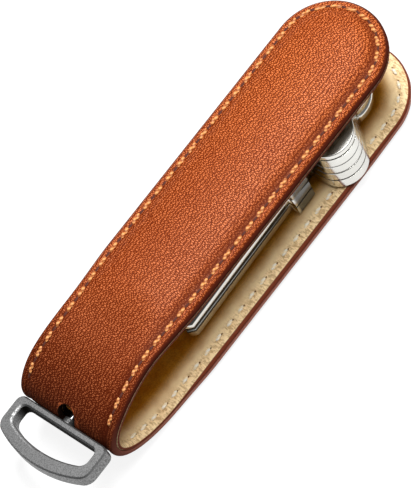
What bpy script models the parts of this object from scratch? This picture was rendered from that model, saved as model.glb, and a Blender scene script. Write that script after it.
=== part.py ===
# Leather key organizer: a folded, padded strap with a magnetic flap, keys on a post, and a swivel D-ring.
# +X points from the fold to the open round ends, +Z up. The origin is where the post's axis leaves the base.
from math import asin, cos, pi, radians, sin, sqrt

import bmesh
import bpy
from mathutils import Matrix, Vector

MM = 0.001

# Clearances
SEAT_GAP = 0.3 * MM
RUN_GAP = 0.25 * MM
SHAFT_PLAY = 0.1 * MM
OVERRUN = 2.0 * MM

# Folded strap
CASE_WIDTH = 23.0 * MM
CASE_LENGTH = 94.5 * MM
FOLD_REACH = 17.5 * MM
LEATHER = 1.1 * MM
LINING = 0.8 * MM

# Sewn rim and padding
RIM_WIDTH = 2.7 * MM
BASE_SHOULDER = 1.2 * MM
FLAP_SHOULDER = 2.0 * MM
PAD_THICKNESS = 0.6 * MM
PAD_CROWN = 0.35 * MM
PAD_BEVEL = 0.5 * MM
PAD_RUNOUT = 9.0 * MM
BOARD = 0.5 * MM
BOARD_MARGIN = 1.4 * MM

# Key post
POST_DIAMETER = 4.8 * MM
POST_FLANGE_DIAMETER = 9.4 * MM
POST_BORE_DIAMETER = 3.0 * MM
POST_FLOOR = 0.4 * MM
SCREW_HEAD_DIAMETER = 9.0 * MM
SCREW_HEAD = 0.6 * MM
SCREW_SHANK_DIAMETER = 2.4 * MM
SCREW_LENGTH = 8.0 * MM
SLOT_WIDTH = 1.2 * MM
SLOT_DEPTH = 0.3 * MM
WASHER = 0.3 * MM
WASHER_DIAMETER = 9.0 * MM
MAGNET_DIAMETER = 8.0 * MM
MAGNET = 1.0 * MM

# Keys
KEY_COUNT = 5
KEY_THICKNESS = 2.55 * MM
TOP_KEY_THICKNESS = 1.4 * MM
KEY_SWING_DEG = 1.5
END_LOBE_RADIUS = 6.3 * MM
END_LOBE_OFFSET = 1.8 * MM
SIDE_LOBE_RADIUS = 5.3 * MM
SIDE_LOBE_BACK = 12.0 * MM
SIDE_LOBE_OUT = 7.4 * MM
SIDE_LOBE_FROM_DEG = -165.0
SIDE_LOBE_TO_DEG = -40.0
END_LOBE_HALF_DEG = 110.0
NECK_WIDTH = 8.6 * MM
COLLAR_FROM = 20.0 * MM
COLLAR_LENGTH = 4.8 * MM
COLLAR_BACK = 7.0 * MM
COLLAR_FRONT = 5.4 * MM
BLADE_LENGTH = 30.9 * MM
BLADE_HEIGHT = 8.8 * MM
BLADE_BACK = 5.2 * MM
BLADE_TIP = 2.2 * MM
CUT_DEPTH = 2.8 * MM
CUT_FLAT = 1.0 * MM
CUT_START = 4.4 * MM
CUT_PITCH = 4.2 * MM
CUT_DEPTH_SHARES = ((0.35, 0.85, 0.55, 1.0, 0.45), (0.9, 0.4, 1.0, 0.6, 0.3), (0.5, 0.95, 0.3, 0.75, 0.9),
                    (1.0, 0.6, 0.8, 0.35, 0.65), (0.4, 0.7, 0.95, 0.5, 1.0))

# Swivel D-ring
RING_INSET = 0.05 * MM
RING_SIDE = 7.0 * MM
RING_LENGTH = 9.9 * MM
RING_THICKNESS = 3.3 * MM
RING_BAR = 1.4 * MM
RING_SIDE_BAR = 2.0 * MM
RING_ARC_BAR = 2.8 * MM
RING_BAR_CORNER = 1.5 * MM
RING_ARC_CORNER = 3.0 * MM
RING_INNER_BAR_CORNER = 1.0 * MM
RING_INNER_ARC_CORNER = 1.6 * MM
RING_CHAMFER = 0.3 * MM
RING_OFF_FOLD = 0.25 * MM
RING_ROLL_DEG = -6.0
STEM_DIAMETER = 2.4 * MM
STEM_HOLE_WIDTH = 4.0 * MM
STEM_HOLE_RISE = 2.4 * MM
STEM_INTO_HOLE = 0.8 * MM
PIN_DIAMETER = 1.5 * MM
PIN_HEAD_DIAMETER = 3.0 * MM
PIN_HEAD = 0.8 * MM
PIN_INTO_STEM = 1.4 * MM
ANCHOR_LENGTH = 10.0 * MM
ANCHOR_HEIGHT = 3.2 * MM
ANCHOR_THICKNESS = 0.9 * MM

# Mesh fineness
ACROSS = 18
TIP_ROWS = 10
FOLD_ROWS = 20
RUNOUT_ROWS = 3
ROUND_SIDES = 40
LOBE_STEPS = 18
END_LOBE_STEPS = 28
RING_ARC_STEPS = 16
CORNER_STEPS = 4
WELD = 0.001 * MM
FLAT_WITHIN_DEG = 0.5
CHAMFER_ABOVE_DEG = 60.0
SMOOTH_BELOW_DEG = 35.0

# Worked out from the sizes above
HALF_WIDTH = CASE_WIDTH / 2
NOSE_X = HALF_WIDTH - CASE_LENGTH
FOLD_X = NOSE_X + FOLD_REACH
COVER = LEATHER + SEAT_GAP + LINING
BASE_RISE = SEAT_GAP + BOARD
FLAP_RISE = BASE_RISE + SEAT_GAP + PAD_THICKNESS
KEY_PITCH = KEY_THICKNESS + RUN_GAP
BASE_RIM_Z = BASE_RISE
BASE_BOARD_Z = LEATHER + SEAT_GAP
FLOOR_Z = BASE_RIM_Z + COVER
LOWER_WASHER_Z = FLOOR_Z + SEAT_GAP
KEYS_Z = LOWER_WASHER_Z + WASHER + RUN_GAP
TOP_KEY_Z = KEYS_Z + (KEY_COUNT - 1) * KEY_PITCH
UPPER_WASHER_Z = TOP_KEY_Z + TOP_KEY_THICKNESS + RUN_GAP
SCREW_HEAD_Z = UPPER_WASHER_Z + WASHER + RUN_GAP
CEILING_Z = SCREW_HEAD_Z + SCREW_HEAD + SEAT_GAP
FLAP_RIM_Z = CEILING_Z + COVER
MIDDLE_Z = (BASE_RIM_Z + FLAP_RIM_Z) / 2
HALF_HEIGHT = (FLAP_RIM_Z - BASE_RIM_Z) / 2
FLAP_X = FOLD_X + SEAT_GAP
RING_X = NOSE_X - RING_OFF_FOLD
RING_HALF = HALF_WIDTH - RING_INSET
BOARD_HALF = HALF_WIDTH - RIM_WIDTH - BOARD_MARGIN
PAD_HALF = HALF_WIDTH - RIM_WIDTH - FLAP_SHOULDER
STEM_END_X = NOSE_X + STEM_INTO_HOLE


def remove_objects():
    for old in list(bpy.data.objects):
        bpy.data.objects.remove(old, do_unlink=True)


def material(name, colour, roughness, metallic=0.0):
    made = bpy.data.materials.new(name)
    made.use_nodes = True
    shader = made.node_tree.nodes["Principled BSDF"]
    shader.inputs["Base Color"].default_value = (*colour, 1.0)
    shader.inputs["Roughness"].default_value = roughness
    shader.inputs["Metallic"].default_value = metallic
    return made


def finish_object(name, bm, look, location=(0, 0, 0), parent=None):
    """Makes one named object from a bmesh and hangs it on its joint's empty where it has one."""
    bmesh.ops.remove_doubles(bm, verts=bm.verts[:], dist=WELD)
    bmesh.ops.recalc_face_normals(bm, faces=bm.faces[:])
    mesh = bpy.data.meshes.new(name)
    bm.to_mesh(mesh)
    bm.free()
    mesh.materials.append(look)
    mesh.shade_smooth()
    mesh.set_sharp_from_angle(angle=radians(SMOOTH_BELOW_DEG))
    made = bpy.data.objects.new(name, mesh)
    bpy.context.scene.collection.objects.link(made)
    made.location = location
    made.parent = parent
    return made


def joint_empty(name, location):
    made = bpy.data.objects.new(name, None)
    bpy.context.scene.collection.objects.link(made)
    made.location = location
    return made


def cut(target, cutters):
    for index, cutter in enumerate(cutters):
        boolean = target.modifiers.new("Cut {}".format(index + 1), "BOOLEAN")
        boolean.operation = "DIFFERENCE"
        boolean.solver = "EXACT"
        boolean.object = cutter


def join(target, tool):
    boolean = target.modifiers.new("Join", "BOOLEAN")
    boolean.operation = "UNION"
    boolean.solver = "EXACT"
    boolean.object = tool


def cylinder_mesh(diameter, length, along="Z"):
    """A cylinder about its own axis that starts at the origin and runs to +length."""
    bm = bmesh.new()
    bmesh.ops.create_cone(bm, cap_ends=True, segments=ROUND_SIDES, radius1=diameter / 2, radius2=diameter / 2,
                          depth=length, matrix=Matrix.Translation((0, 0, length / 2)))
    if along == "X":
        bmesh.ops.rotate(bm, verts=bm.verts[:], matrix=Matrix.Rotation(pi / 2, 3, "Y"))
    return bm


def cutter_object(name, bm, location=(0, 0, 0), parent=None):
    made = finish_object(name, bm, LOOKS["steel"], location, parent)
    made.hide_render = True
    made.display_type = "WIRE"
    return made


def disc(name, look, diameter, thickness, z, bore=0.0):
    """A flat disc on the post's axis, with a bore where one is given."""
    made = finish_object(name, cylinder_mesh(diameter, thickness), look, (0, 0, z))
    if bore:
        hole = cylinder_mesh(bore, thickness + 2 * OVERRUN)
        cut(made, [cutter_object(name + "_bore", hole, (0, 0, z - OVERRUN))])
    return made


# The strap is a grid: rows run along it and columns across it, and each row says how it lies.
def straight_row(x):
    return ("straight", x)


def runout_rows(from_x):
    return [straight_row(from_x + PAD_RUNOUT * row / RUNOUT_ROWS) for row in range(RUNOUT_ROWS + 1)]


def tip_rows():
    return [("tip", (row + 1) / TIP_ROWS) for row in range(TIP_ROWS)]


def fold_rows():
    """Rows round the fold, from the flap's edge down to the base."""
    return [("fold", pi / 2 - pi * row / FOLD_ROWS) for row in range(FOLD_ROWS + 1)]


def smooth_step(share):
    share = min(max(share, 0.0), 1.0)
    return share * share * (3 - 2 * share)


def edge_distance(x, y):
    return HALF_WIDTH - (sqrt(x * x + y * y) if x > 0 else abs(y))


def base_swell(x, y):
    """How far the base's outer face stands below its sewn rim, over the board."""
    along = smooth_step((x - FOLD_X) / PAD_RUNOUT)
    return BASE_RISE * along * smooth_step((edge_distance(x, y) - RIM_WIDTH) / BASE_SHOULDER)


def flap_swell(x, y, margin=0.0):
    """How far the flap's outer face stands above its sewn rim, over the board and the foam."""
    along = smooth_step((x - FLAP_X) / PAD_RUNOUT)
    inside = edge_distance(x, y) - RIM_WIDTH - margin
    crown = PAD_CROWN * (1 - (1 - max(inside, 0.0) / (HALF_WIDTH - RIM_WIDTH)) ** 2)
    return along * (FLAP_RISE * smooth_step(inside / FLAP_SHOULDER) + crown)


def pad_swell(x, y):
    """The foam's upper face, which thins out towards its edge before the leather comes down."""
    return flap_swell(x, y, PAD_BEVEL)


def row_point(row, side, half, depth, side_up, swell):
    """A point of the strap: depth is measured inwards from the rim's outer face."""
    kind, value = row
    y = half * sin(side * pi / 2)
    if kind == "fold":
        x = FOLD_X - (FOLD_REACH - depth) * cos(value)
        return Vector((x, y, MIDDLE_Z + (HALF_HEIGHT - depth) * sin(value)))
    x = value * sqrt(max(half * half - y * y, 0.0)) if kind == "tip" else value
    rise = swell(x, y) if swell else 0.0
    if side_up:
        return Vector((x, y, FLAP_RIM_Z - depth + rise))
    return Vector((x, y, BASE_RIM_Z + depth - rise))


def strap_solid(name, look, rows, outer_depth, inner_depth, side_up, swell=None, inner_swell=None, parent=None,
                half=HALF_WIDTH):
    """One closed layer of the strap between two depths: a grid that an extrusion gives its thickness."""
    bm = bmesh.new()
    bmesh.ops.create_grid(bm, x_segments=len(rows) - 1, y_segments=ACROSS, size=1.0)
    made = bmesh.ops.extrude_face_region(bm, geom=bm.faces[:])
    inner = {part for part in made["geom"] if isinstance(part, bmesh.types.BMVert)}
    for vert in bm.verts:
        row = rows[round((vert.co.x + 1) / 2 * (len(rows) - 1))]
        depth, rise = (inner_depth, inner_swell) if vert in inner else (outer_depth, swell)
        vert.co = row_point(row, vert.co.y, half, depth, side_up, rise)
    bmesh.ops.remove_doubles(bm, verts=bm.verts[:], dist=WELD)
    bmesh.ops.dissolve_degenerate(bm, edges=bm.edges[:], dist=WELD)
    place = parent.location if parent else Vector((0, 0, 0))
    bmesh.ops.translate(bm, verts=bm.verts[:], vec=-place)
    return finish_object(name, bm, look, parent=parent)


def plate_mesh(outline, thickness):
    """A flat plate on z = 0 with the given outline."""
    bm = bmesh.new()
    face = bm.faces.new([bm.verts.new((x, y, 0)) for x, y in outline])
    made = bmesh.ops.extrude_face_region(bm, geom=[face])
    moved = [part for part in made["geom"] if isinstance(part, bmesh.types.BMVert)]
    bmesh.ops.translate(bm, verts=moved, vec=(0, 0, thickness))
    bmesh.ops.triangulate(bm, faces=[part for part in bm.faces if len(part.verts) > 4])
    return bm


def tongue_outline(from_x, half):
    """A strip from from_x to a round end about the post's axis."""
    steps = 2 * ACROSS
    arc = [(half * cos(angle), half * sin(angle))
           for angle in (-pi / 2 + pi * step / steps for step in range(steps + 1))]
    return [(from_x, -half)] + arc + [(from_x, half)]


def base_cover():
    rows = fold_rows() + runout_rows(FOLD_X)[1:] + [straight_row(0.0)] + tip_rows()
    leather = strap_solid("outer_leather_base", LOOKS["leather"], rows, 0.0, LEATHER, False, base_swell,
                          base_swell)
    lining_rows = fold_rows() + [straight_row(0.0)] + tip_rows()
    lining = strap_solid("lining_base", LOOKS["lining"], lining_rows, LEATHER + SEAT_GAP, COVER, False)
    slot = cylinder_mesh(STEM_HOLE_WIDTH, COVER + 2 * OVERRUN, "X")
    upper = [vert for vert in slot.verts if vert.co.z > WELD]
    bmesh.ops.translate(slot, verts=upper, vec=(0, 0, STEM_HOLE_RISE))
    hole = cutter_object("stem_hole", slot, (NOSE_X - OVERRUN, 0, MIDDLE_Z))
    post_hole = cutter_object("post_hole", cylinder_mesh(POST_DIAMETER + 2 * SEAT_GAP, COVER + OVERRUN),
                              (0, 0, BASE_BOARD_Z))
    cut(leather, [hole])
    cut(lining, [hole, post_hole])
    board = finish_object("base_board", plate_mesh(tongue_outline(FOLD_X + PAD_RUNOUT, BOARD_HALF), BOARD),
                          LOOKS["board"], (0, 0, BASE_BOARD_Z))
    flange_hole = cutter_object("flange_hole", cylinder_mesh(POST_FLANGE_DIAMETER + 2 * SEAT_GAP, COVER),
                                (0, 0, BASE_BOARD_Z - LEATHER / 2))
    cut(board, [flange_hole])


def flap(hinge):
    rows = runout_rows(FLAP_X) + [straight_row(0.0)] + tip_rows()
    strap_solid("outer_leather_flap", LOOKS["leather"], rows, 0.0, LEATHER, True, flap_swell, flap_swell,
                hinge)
    strap_solid("lining_flap", LOOKS["lining"], [straight_row(FLAP_X), straight_row(0.0)] + tip_rows(),
                LEATHER + SEAT_GAP, COVER, True, parent=hinge)
    board_z = CEILING_Z + LINING + SEAT_GAP
    magnet_hole = cylinder_mesh(MAGNET_DIAMETER + 2 * SEAT_GAP, MAGNET + FLAP_RISE)
    hole = cutter_object("magnet_hole", magnet_hole, (0, 0, board_z - SEAT_GAP))
    start = FLAP_X + PAD_RUNOUT
    board = finish_object("flap_board", plate_mesh(tongue_outline(start, BOARD_HALF), BOARD), LOOKS["board"],
                          Vector((0, 0, board_z)) - hinge.location, hinge)
    pad_depth = FLAP_RIM_Z - (board_z + BOARD + SEAT_GAP)
    pad = strap_solid("flap_foam_pad", LOOKS["foam"], [straight_row(start), straight_row(0.0)] + tip_rows(),
                      LEATHER + SEAT_GAP, pad_depth, True, pad_swell, None, hinge, PAD_HALF)
    cut(board, [hole])
    cut(pad, [hole])
    finish_object("closure_magnet", cylinder_mesh(MAGNET_DIAMETER, MAGNET), LOOKS["magnet"],
                  Vector((0, 0, board_z)) - hinge.location, hinge)


def key_post():
    """The flanged barrel is held under the lining, and the slotted screw closes the stack of keys."""
    barrel_top = UPPER_WASHER_Z + WASHER
    base = finish_object("key_post", cylinder_mesh(POST_FLANGE_DIAMETER, BOARD), LOOKS["steel"],
                         (0, 0, BASE_BOARD_Z))
    barrel = cutter_object("post_barrel", cylinder_mesh(POST_DIAMETER, barrel_top - BASE_BOARD_Z),
                           (0, 0, BASE_BOARD_Z))
    join(base, barrel)
    bore_from = BASE_BOARD_Z + BOARD + POST_FLOOR
    bore = cutter_object("post_bore", cylinder_mesh(POST_BORE_DIAMETER, barrel_top), (0, 0, bore_from))
    cut(base, [bore])
    head = finish_object("post_screw", cylinder_mesh(SCREW_HEAD_DIAMETER, SCREW_HEAD), LOOKS["steel"],
                         (0, 0, SCREW_HEAD_Z))
    shank = cutter_object("screw_shank", cylinder_mesh(SCREW_SHANK_DIAMETER, SCREW_LENGTH + SCREW_HEAD / 2),
                          (0, 0, SCREW_HEAD_Z - SCREW_LENGTH))
    join(head, shank)
    slot = bmesh.new()
    bmesh.ops.create_cube(slot, size=1.0, matrix=Matrix.Diagonal(
        (SLOT_WIDTH, SCREW_HEAD_DIAMETER + OVERRUN, 2 * SLOT_DEPTH, 1.0)))
    cut(head, [cutter_object("screw_slot", slot, (0, 0, SCREW_HEAD_Z + SCREW_HEAD))])
    bore_size = POST_DIAMETER + 2 * SEAT_GAP
    disc("lower_washer", LOOKS["nylon"], WASHER_DIAMETER, WASHER, LOWER_WASHER_Z, bore_size)
    disc("upper_washer", LOOKS["nylon"], WASHER_DIAMETER, WASHER, UPPER_WASHER_Z, bore_size)


def arc(centre, radius, from_deg, to_deg, steps):
    angles = (radians(from_deg + (to_deg - from_deg) * step / steps) for step in range(steps + 1))
    return [(centre[0] + radius * cos(angle), centre[1] + radius * sin(angle)) for angle in angles]


def bow_outline():
    """Three lobes: one round the post and one on each side, from the neck's -Y side round to its +Y side."""
    side = (-SIDE_LOBE_BACK, -SIDE_LOBE_OUT)
    lower = arc(side, SIDE_LOBE_RADIUS, SIDE_LOBE_FROM_DEG, SIDE_LOBE_TO_DEG, LOBE_STEPS)
    end = arc((-END_LOBE_OFFSET, 0.0), END_LOBE_RADIUS, -END_LOBE_HALF_DEG, END_LOBE_HALF_DEG, END_LOBE_STEPS)
    return lower + end + [(x, -y) for x, y in reversed(lower)]


def blade_outline(shares):
    """Collar, cut edge, tip and straight back, from the neck's +Y side to its -Y side."""
    collar_end = COLLAR_FROM + COLLAR_LENGTH
    neck = SIDE_LOBE_BACK + SIDE_LOBE_RADIUS
    tip = collar_end + BLADE_LENGTH
    edge = BLADE_HEIGHT - BLADE_BACK
    points = [(-neck, NECK_WIDTH / 2), (-COLLAR_FROM, NECK_WIDTH / 2), (-COLLAR_FROM, COLLAR_FRONT),
              (-collar_end, COLLAR_FRONT), (-collar_end, edge)]
    for index, share in enumerate(shares):
        centre = collar_end + CUT_START + CUT_PITCH * index
        low = edge - CUT_DEPTH * share
        points += [(-(centre - CUT_PITCH / 2), edge - CUT_DEPTH * min(shares) / 2),
                   (-(centre - CUT_FLAT / 2), low), (-(centre + CUT_FLAT / 2), low)]
    last = collar_end + CUT_START + CUT_PITCH * (len(shares) - 1 / 2)
    points += [(-last, edge - CUT_DEPTH * min(shares) / 2), (-(tip - BLADE_TIP), edge - BLADE_TIP),
               (-tip, 0.0), (-tip, -BLADE_BACK + BLADE_TIP / 2), (-(tip - BLADE_TIP / 2), -BLADE_BACK),
               (-collar_end, -BLADE_BACK), (-collar_end, -COLLAR_BACK), (-COLLAR_FROM, -COLLAR_BACK),
               (-COLLAR_FROM, -NECK_WIDTH / 2), (-neck, -NECK_WIDTH / 2)]
    return points


def keys():
    for index in range(KEY_COUNT):
        z = KEYS_Z + KEY_PITCH * index
        thickness = KEY_THICKNESS if index < KEY_COUNT - 1 else TOP_KEY_THICKNESS
        name = "key_{}".format(index + 1)
        outline = bow_outline() + blade_outline(CUT_DEPTH_SHARES[index])
        made = finish_object(name, plate_mesh(outline, thickness), LOOKS["nickel"], (0, 0, z))
        made.rotation_euler = (0, 0, radians(KEY_SWING_DEG))
        hole = cylinder_mesh(POST_DIAMETER + 2 * SHAFT_PLAY, thickness + 2 * OVERRUN)
        cut(made, [cutter_object(name + "_hole", hole, (0, 0, z - OVERRUN))])


def d_outline(half, bar_x, side_x, apex_x):
    """A straight bar and two sides that a bowed end closes; x falls away from the fold."""
    rise = side_x - apex_x
    radius = (half * half + rise * rise) / (2 * rise)
    spread = asin(half / radius)
    bowed = [(apex_x + radius - radius * cos(spread * share), radius * sin(spread * share))
             for share in (1 - 2 * step / RING_ARC_STEPS for step in range(RING_ARC_STEPS + 1))]
    return [(bar_x, -half), (bar_x, half)] + bowed


def d_plate(outline, bar_corner, arc_corner, thickness):
    """A plate with a D's outline, rounded at the two ends of its bar and of its bow."""
    bm = plate_mesh(outline, thickness)
    bmesh.ops.dissolve_limit(bm, angle_limit=radians(FLAT_WITHIN_DEG), verts=bm.verts[:],
                             edges=bm.edges[:])
    for corner, at_bar in ((bar_corner, True), (arc_corner, False)):
        upright = [edge for edge in bm.edges if abs(edge.verts[0].co.z - edge.verts[1].co.z) > thickness / 2
                   and edge.calc_face_angle(0.0) > radians(SMOOTH_BELOW_DEG)
                   and (edge.verts[0].co.x > -RING_SIDE / 2) == at_bar]
        bmesh.ops.bevel(bm, geom=upright, offset=corner, offset_type="OFFSET", segments=CORNER_STEPS,
                        profile=0.5, affect="EDGES", clamp_overlap=True, material=-1)
    return bm


def d_ring(swivel):
    inner_half = RING_HALF - RING_SIDE_BAR
    inner_side = RING_SIDE - RING_ARC_BAR + (RING_LENGTH - RING_SIDE) * (1 - (inner_half / RING_HALF) ** 2)
    outer = d_outline(RING_HALF, 0.0, -RING_SIDE, -RING_LENGTH)
    inner = d_outline(inner_half, -RING_BAR, -inner_side, RING_ARC_BAR - RING_LENGTH)
    body = finish_object("d_ring", d_plate(outer, RING_BAR_CORNER, RING_ARC_CORNER, RING_THICKNESS),
                         LOOKS["ring"], (0, 0, -RING_THICKNESS / 2), swivel)
    opening_mesh = d_plate(inner, RING_INNER_BAR_CORNER, RING_INNER_ARC_CORNER, RING_THICKNESS + 2 * OVERRUN)
    opening = cutter_object("ring_opening", opening_mesh, (0, 0, -RING_THICKNESS / 2 - OVERRUN), swivel)
    stem_mesh = cylinder_mesh(STEM_DIAMETER, RING_BAR / 2 + RING_OFF_FOLD + STEM_INTO_HOLE, "X")
    stem = cutter_object("ring_stem", stem_mesh, (-RING_BAR / 2, 0, 0), swivel)
    bore_mesh = cylinder_mesh(PIN_DIAMETER + 2 * SEAT_GAP, PIN_INTO_STEM + OVERRUN, "X")
    bore = cutter_object("stem_bore", bore_mesh, (RING_OFF_FOLD + STEM_INTO_HOLE - PIN_INTO_STEM, 0, 0), swivel)
    cut(body, [opening])
    chamfer = body.modifiers.new("Chamfer", "BEVEL")
    chamfer.width = RING_CHAMFER
    chamfer.segments = 1
    chamfer.limit_method = "ANGLE"
    chamfer.angle_limit = radians(CHAMFER_ABOVE_DEG)
    join(body, stem)
    cut(body, [bore])


def ring_anchor(swivel):
    """The headed pin turns in the anchor bar, which bears on the lining inside the fold."""
    inside = NOSE_X + COVER
    reach = FOLD_REACH - COVER
    height = HALF_HEIGHT - COVER
    dip = reach * (1 - sqrt(1 - (ANCHOR_HEIGHT / 2 / height) ** 2))
    anchor_x = inside + dip + SEAT_GAP
    bar = bmesh.new()
    bmesh.ops.create_cube(bar, size=1.0, matrix=Matrix.Diagonal(
        (ANCHOR_THICKNESS, ANCHOR_LENGTH, ANCHOR_HEIGHT, 1.0)))
    anchor = finish_object("ring_anchor_bar", bar, LOOKS["steel"],
                           (anchor_x + ANCHOR_THICKNESS / 2, 0, MIDDLE_Z))
    hole = cylinder_mesh(PIN_DIAMETER + 2 * SHAFT_PLAY, ANCHOR_THICKNESS + 2 * OVERRUN, "X")
    cut(anchor, [cutter_object("anchor_hole", hole, (anchor_x - OVERRUN, 0, MIDDLE_Z))])
    head_x = anchor_x + ANCHOR_THICKNESS + RUN_GAP
    pin_from = STEM_END_X - PIN_INTO_STEM + SEAT_GAP
    pin = finish_object("ring_swivel_pin", cylinder_mesh(PIN_HEAD_DIAMETER, PIN_HEAD, "X"), LOOKS["steel"],
                        (head_x - swivel.location.x, 0, 0), swivel)
    shank = cutter_object("pin_shank", cylinder_mesh(PIN_DIAMETER, head_x + PIN_HEAD / 2 - pin_from, "X"),
                          (pin_from - swivel.location.x, 0, 0), swivel)
    join(pin, shank)


remove_objects()
LOOKS = {
    "leather": material("leather", (0.42, 0.12, 0.035), 0.55),
    "lining": material("lining", (0.50, 0.33, 0.15), 0.6),
    "foam": material("foam", (0.12, 0.12, 0.12), 0.9),
    "board": material("board", (0.25, 0.2, 0.15), 0.85),
    "magnet": material("magnet", (0.5, 0.5, 0.52), 0.35, 1.0),
    "steel": material("steel", (0.45, 0.45, 0.46), 0.35, 1.0),
    "nylon": material("nylon", (0.08, 0.08, 0.08), 0.5),
    "nickel": material("nickel", (0.72, 0.71, 0.68), 0.25, 1.0),
    "ring": material("ring", (0.38, 0.38, 0.39), 0.45, 1.0),
}
flap_hinge = joint_empty("flap_hinge", (FLAP_X, 0, FLAP_RIM_Z))
ring_swivel = joint_empty("ring_swivel", (RING_X, 0, MIDDLE_Z))
ring_swivel.rotation_euler = (radians(RING_ROLL_DEG), 0, 0)
bpy.context.view_layer.update()
base_cover()
flap(flap_hinge)
key_post()
keys()
d_ring(ring_swivel)
ring_anchor(ring_swivel)
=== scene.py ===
# Folded leather key organizer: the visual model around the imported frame.
from math import cos, hypot, pi, radians, sin

import bmesh
import bpy
from mathutils import Matrix, Vector


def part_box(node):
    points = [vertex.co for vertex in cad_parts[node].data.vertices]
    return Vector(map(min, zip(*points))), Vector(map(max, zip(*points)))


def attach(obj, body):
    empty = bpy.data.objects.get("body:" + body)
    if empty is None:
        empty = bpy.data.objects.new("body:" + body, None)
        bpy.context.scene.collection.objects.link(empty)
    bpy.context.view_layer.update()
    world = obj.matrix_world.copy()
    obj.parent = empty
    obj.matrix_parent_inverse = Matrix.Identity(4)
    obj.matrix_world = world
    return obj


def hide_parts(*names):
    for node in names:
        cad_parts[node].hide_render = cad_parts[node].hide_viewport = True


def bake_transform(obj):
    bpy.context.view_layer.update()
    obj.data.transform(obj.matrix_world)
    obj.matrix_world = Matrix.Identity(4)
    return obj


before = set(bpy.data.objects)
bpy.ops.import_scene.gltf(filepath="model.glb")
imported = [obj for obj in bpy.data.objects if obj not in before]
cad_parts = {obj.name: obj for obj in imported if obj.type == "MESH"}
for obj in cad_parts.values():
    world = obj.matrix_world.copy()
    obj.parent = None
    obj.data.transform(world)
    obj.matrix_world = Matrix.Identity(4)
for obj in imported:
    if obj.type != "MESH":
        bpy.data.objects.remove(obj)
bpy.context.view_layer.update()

MM = 0.001
WELD = 0.0005 * MM

# Strap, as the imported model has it: heights are under or over the outer face of its sewn rim
HALF = 11.5 * MM
FOLD_X = -65.5 * MM
REACH = 17.5 * MM
BASE_RIM_Z = 0.8 * MM
FLAP_RIM_Z = 20.35 * MM
LEATHER = 1.1 * MM
JOIN = 1.32 * MM
COVER = 2.2 * MM
RIM_WIDTH = 2.7 * MM
RUNOUT = 9.0 * MM
CUT_DEG = -38.0

# How the covers lie, as the photo shows: the lower one's rim is wider, and the flap lies a little to one side and
# has a waist by the fold
BASE_SPREAD_TIP, BASE_SPREAD = 0.15 * MM, 0.5 * MM
BASE_SPREAD_FROM, BASE_SPREAD_TO = -6 * MM, 12 * MM
FLAP_ASIDE_TIP, FLAP_ASIDE = 0.15 * MM, 0.3 * MM
ASIDE_FROM_SHARE, ASIDE_TO_SHARE = 0.35, 0.75
FLAP_WAIST = 0.6 * MM
FLAP_WAIST_AT = 66.5 * MM
FLAP_WAIST_REACH = 14.0 * MM

# Seam: two beads make one twisted stitch outside, one bead makes a flat stitch inside. Each size is a length, a
# width and a height
SEAM_INSET = 1.8 * MM
SEAM_STOP = 18.5 * MM
STITCH_PITCH = 3.4 * MM
STITCHES_PER_END = 10
BEAD_STEP = 1.0 * MM
BEAD_SIZE = (1.4 * MM, 0.74 * MM, 0.5 * MM)
BEAD_TURN_DEG = 20.0
BEAD_LIFT = 0.16 * MM
HOLE_SIZE = (1.2 * MM, 0.5 * MM, 0.2 * MM)
HOLE_LIFT = 0.02 * MM
INNER_SIZE = (1.75 * MM, 0.72 * MM, 0.66 * MM)
INNER_TURN_DEG = -6.0
INNER_LIFT = 0.1 * MM
INNER_HOLE_SIZE = (0.5 * MM, 0.36 * MM, 0.14 * MM)
INNER_HOLE_LIFT = -0.08 * MM
INNER_HOLE_STEP = 0.95 * MM

# Slot for the ring's stem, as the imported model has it
STEM_HOLE_WIDTH = 4.0 * MM
STEM_HOLE_RISE = 2.6 * MM

# Ring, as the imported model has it, and how far its inner edge is rubbed round
RING_X = FOLD_X - REACH - 0.25 * MM
RING_ROLL_DEG = -6.0
RING_THICKNESS = 3.3 * MM
RING_BAR = 1.4 * MM
RING_ARC_BAR = 2.8 * MM
RING_INNER_HALF = 9.45 * MM
RING_APEX_X = -9.9 * MM
RING_RADIUS = 24.05 * MM
RING_RUB = 0.38 * MM

# Keys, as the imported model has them, and how far each blade's back and the bow's free end are rounded
BLADE_FROM_X = -26.0 * MM
BACK_Y = -4.0 * MM
BACK_ROUND = (0.3 * MM, 0.2 * MM, 0.95 * MM, 0.95 * MM, 0.5 * MM)
BOW_END_X = -5.0 * MM
BOW_END_ROUND = 0.7 * MM
EDGE_ROUND = 0.26 * MM
BORE_REACH = 3.0 * MM

# The one key whose blade slopes in towards its top, from this height over its foot
SLOPED = "key_2"
SLOPE_FROM = 1.15 * MM
SLOPE_IN = 0.5 * MM

# Milled grooves of a blade: the face they are cut in, 1 for the top and 0 for the foot, and where across it
GROOVES = ((1, -2.6 * MM), (1, 0.4 * MM), (0, -1.1 * MM))
GROOVE_X = -41 * MM
GROOVE_SIZE = (32 * MM, 1.5 * MM, 0.7 * MM, 1.0)
GROOVE_TURN_DEG = 1.5

# Studio
FLOOR_DROP = 0.1 * MM
FLOOR_GLOW = 0.87
WORLD_STRENGTH = 0.2
LAMPS = (("key", (0.21, 0.15, 0.66), 0.2, 4.0), ("front", (0.04, -0.11, 0.65), 0.24, 3.3))
LAMP_AIM = (-0.035, 0, 0.01)
CAMERA_PLACE = (-0.202046, -0.379150, 0.739461)
CAMERA_DEG = (25.7522, 14.9425, -51.1464)
CAMERA_LENS = 333.141
CLIP_START = 0.01

MIDDLE_Z = (BASE_RIM_Z + FLAP_RIM_Z) / 2
HALF_HEIGHT = (FLAP_RIM_Z - BASE_RIM_Z) / 2
FLAT = -FOLD_X
FOLD_STEPS = 400


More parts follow.
